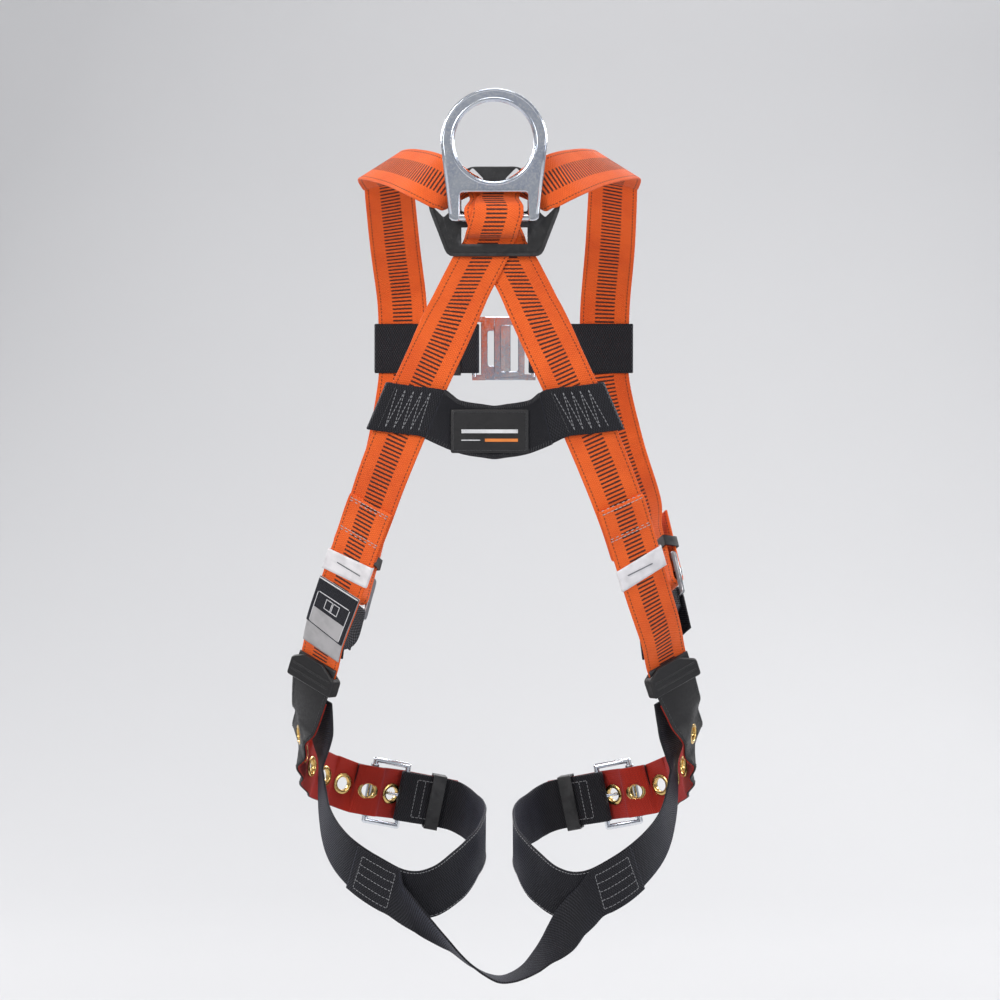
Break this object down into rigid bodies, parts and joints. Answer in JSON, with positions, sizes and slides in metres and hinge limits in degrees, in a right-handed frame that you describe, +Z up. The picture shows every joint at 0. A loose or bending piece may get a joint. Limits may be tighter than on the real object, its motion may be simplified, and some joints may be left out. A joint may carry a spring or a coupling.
{
  "type": "safety harness",
  "caption": "Full-body fall-arrest harness of flat webbing with a dorsal D-ring on a back plate, chest buckle, torso adjusters and buckled leg loops, as worn.",
  "frame": {"origin": "inside the wearer, on the centre line, at the height where the straps cross the shoulders", "axes": "+Z up, the wearer faces +Y so the dorsal side looks towards -Y, +X is the wearer's right"},
  "size_m": [0.3638, 0.2596, 0.7614],
  "materials": {
    "orange_webbing": "woven polyester webbing",
    "black_webbing": "woven polyester webbing",
    "red_webbing": "thin woven lining",
    "vinyl": "smooth coated webbing",
    "zinc_steel": "zinc-plated forged steel",
    "dark_steel": "plated pressed steel",
    "brass": "rolled brass eyelets",
    "black_plastic": "moulded satin plastic",
    "white_label": "coated label stock"
  },
  "bodies": {
    "webbing": {"dorsal_plate": "black_plastic", "shoulder_strap_right": "orange_webbing", "shoulder_strap_left": "orange_webbing", "load_label_right": "white_label", "load_label_left": "white_label", "label_pages": "white_label", "adjuster_frame_right": "dark_steel", "adjuster_frame_left": "dark_steel", "hip_sleeve_right": "black_plastic", "hip_sleeve_left": "black_plastic", "lower_strap_right": "black_webbing", "lower_strap_left": "black_webbing", "tongue_strap_right": "vinyl", "tongue_strap_left": "vinyl", "tongue_lining_right": "red_webbing", "tongue_lining_left": "red_webbing", "grommet_right_1": "brass", "grommet_right_2": "brass", "grommet_right_3": "brass", "grommet_right_4": "brass", "grommet_right_5": "brass", "grommet_right_6": "brass", "grommet_right_7": "brass", "grommet_left_1": "brass", "grommet_left_2": "brass", "grommet_left_3": "brass", "grommet_left_4": "brass", "grommet_left_5": "brass", "grommet_left_6": "brass", "grommet_left_7": "brass", "buckle_frame_right": "zinc_steel", "buckle_frame_left": "zinc_steel", "leg_strap_right": "black_webbing", "leg_strap_left": "black_webbing", "seat_strap": "black_webbing", "back_band": "black_webbing", "back_patch": "vinyl", "chest_strap_right": "black_webbing", "chest_strap_left": "black_webbing", "chest_frame": "zinc_steel"},
    "ring": {"dorsal_ring": "zinc_steel"},
    "chest_hook": {"chest_link": "zinc_steel"},
    "chest_keeper": {"chest_keeper": "black_plastic"},
    "bar_right": {"adjuster_bar_right": "dark_steel"},
    "bar_left": {"adjuster_bar_left": "dark_steel"},
    "torso_keeper_right": {"torso_keeper_right": "black_plastic"},
    "torso_keeper_left": {"torso_keeper_left": "black_plastic"},
    "roller_right": {"buckle_roller_right": "zinc_steel"},
    "roller_left": {"buckle_roller_left": "zinc_steel"},
    "prong_right": {"buckle_prong_right": "zinc_steel"},
    "prong_left": {"buckle_prong_left": "zinc_steel"},
    "leg_keeper_right": {"leg_keeper_right": "black_plastic"},
    "leg_keeper_left": {"leg_keeper_left": "black_plastic"},
    "pouch_cover": {"label_cover": "vinyl"}
  },
  "joints": [
    {"name": "ring_tilt", "type": "hinge", "parent": "webbing", "child": "ring", "pos_m": [0, -0.1242, -0.0415], "axis": [1, 0, 0], "range_deg": [0, 150]},
    {"name": "chest_hook_swing", "type": "hinge", "parent": "webbing", "child": "chest_hook", "pos_m": [-0.027, 0.12, -0.15], "axis": [0, 0, 1], "range_deg": [0, 20]},
    {"name": "chest_keeper_slide", "type": "slide", "parent": "webbing", "child": "chest_keeper", "axis": [1, 0, 0], "range_m": [-0.003, 0.003]},
    {"name": "bar_right_slide", "type": "slide", "parent": "webbing", "child": "bar_right", "axis": [-0.2004, 0.5011, 0.8419], "range_m": [0, 0.004]},
    {"name": "bar_left_slide", "type": "slide", "parent": "webbing", "child": "bar_left", "axis": [0.2004, 0.5011, 0.8419], "range_m": [0, 0.004]},
    {"name": "torso_keeper_right_slide", "type": "slide", "parent": "webbing", "child": "torso_keeper_right", "axis": [-0.2004, 0.5011, 0.8419], "range_m": [-0.002, 0.003]},
    {"name": "torso_keeper_left_slide", "type": "slide", "parent": "webbing", "child": "torso_keeper_left", "axis": [0.2004, 0.5011, 0.8419], "range_m": [-0.002, 0.003]},
    {"name": "roller_right_spin", "type": "hinge", "parent": "webbing", "child": "roller_right", "pos_m": [0.11946, 0.07342, -0.54978], "axis": [0.1987, -0.0324, -0.9795], "continuous": true},
    {"name": "roller_left_spin", "type": "hinge", "parent": "webbing", "child": "roller_left", "pos_m": [-0.11946, 0.07342, -0.54978], "axis": [0.1987, 0.0324, 0.9795], "continuous": true},
    {"name": "prong_right_lift", "type": "hinge", "parent": "webbing", "child": "prong_right", "pos_m": [0.09047, 0.07825, -0.55582], "axis": [-0.1987, 0.0324, 0.9795], "range_deg": [0, 3]},
    {"name": "prong_left_lift", "type": "hinge", "parent": "webbing", "child": "prong_left", "pos_m": [-0.09047, 0.07825, -0.55582], "axis": [-0.1987, -0.0324, -0.9795], "range_deg": [0, 3]},
    {"name": "leg_keeper_right_slide", "type": "slide", "parent": "webbing", "child": "leg_keeper_right", "axis": [-0.9662, 0.161, -0.2013], "range_m": [-0.003, 0.006]},
    {"name": "leg_keeper_left_slide", "type": "slide", "parent": "webbing", "child": "leg_keeper_left", "axis": [0.9662, 0.161, -0.2013], "range_m": [-0.003, 0.006]},
    {"name": "pouch_cover_lift", "type": "hinge", "parent": "webbing", "child": "pouch_cover", "pos_m": [-0.13445, -0.08169, -0.3571], "axis": [-0.7804, 0.4454, 0.4389], "range_deg": [0, 90]}
  ]
}
